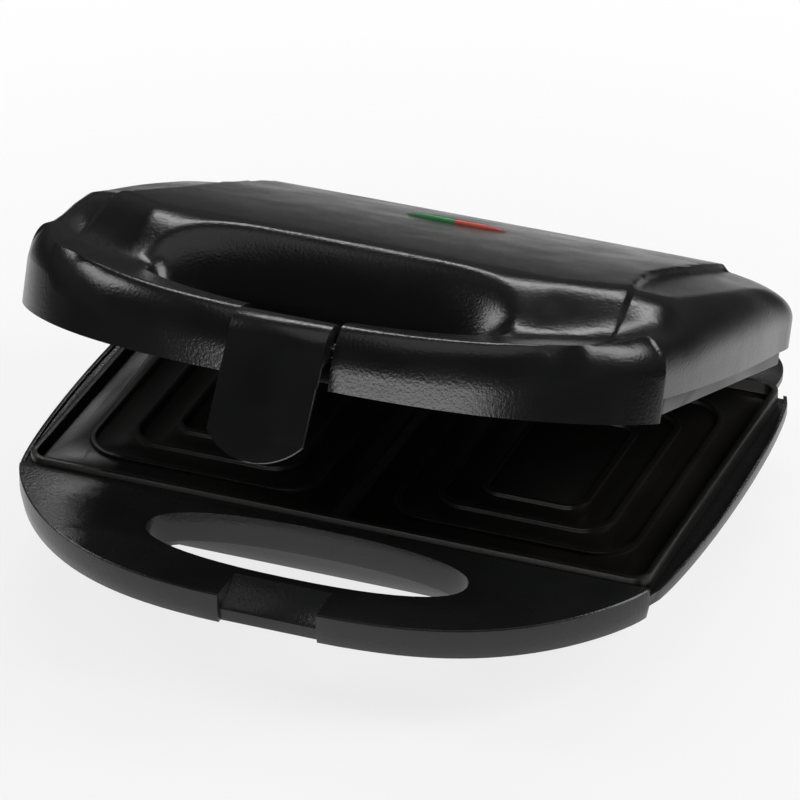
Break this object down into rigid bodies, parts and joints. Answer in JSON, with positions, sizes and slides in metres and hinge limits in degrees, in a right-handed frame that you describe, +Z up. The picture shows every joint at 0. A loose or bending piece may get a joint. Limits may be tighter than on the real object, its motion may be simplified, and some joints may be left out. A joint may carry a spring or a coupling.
{
  "type": "sandwich toaster",
  "caption": "Low black sandwich toaster with a hinged lid half open, patterned non-stick plates, grip slots in both handles, a swinging latch clip and green and red lamps.",
  "frame": {"origin": "middle of the overall box in X and Y, on the surface under the feet, with the lid half open at its rest pose", "axes": "+X to the user's right along the hinge line, +Y to the back towards the hinge, +Z up"},
  "size_m": [0.251, 0.2586, 0.1403],
  "materials": {
    "black_shell": "satin to gloss black phenolic with a fine orange-peel grain",
    "nonstick_plate": "dark brownish black non-stick coating on cast aluminium, satin",
    "element_steel": "drawn stainless tube, heat-tinted, satin",
    "tray_aluminium": "bright rolled sheet",
    "ceramic": "off-white heat-resistant insulator, matte",
    "fastener_steel": "zinc plated steel",
    "rubber": "matte black",
    "green_lens": "moulded translucent green lens",
    "red_lens": "moulded translucent red lens",
    "lamp_glass": "small clear neon bulb"
  },
  "bodies": {
    "base": {"base_frame": "black_shell", "base_tub": "black_shell", "base_screws": "fastener_steel", "lower_plate": "nonstick_plate", "lower_heating_element": "element_steel", "lower_reflector": "tray_aluminium", "lower_reflector_screws": "fastener_steel", "lower_thermostat": "ceramic", "thermal_fuse": "fastener_steel", "lower_plate_screws": "fastener_steel", "terminal_block": "ceramic", "cord_gland": "rubber", "rubber_feet": "rubber", "hinge_pins": "fastener_steel"},
    "lid": {"lid_housing": "black_shell", "upper_plate": "nonstick_plate", "upper_heating_element": "element_steel", "upper_reflector": "tray_aluminium", "upper_reflector_screws": "fastener_steel", "upper_thermostat": "ceramic", "upper_plate_screws": "fastener_steel", "green_lens": "green_lens", "red_lens": "red_lens", "lamp_holder": "ceramic", "neon_lamps": "lamp_glass", "latch_bracket": "black_shell", "latch_pin": "fastener_steel"},
    "latch": {"latch_clip": "black_shell"}
  },
  "joints": [
    {"name": "lid_hinge", "type": "hinge", "parent": "base", "child": "lid", "pos_m": [0, 0.1173, 0.05], "axis": [-1, 0, 0], "range_deg": [-20.5, 75]},
    {"name": "latch_hinge", "type": "hinge", "parent": "lid", "child": "latch", "pos_m": [0, -0.09163, 0.13025], "axis": [-1, 0, 0], "range_deg": [-16, 60]}
  ]
}
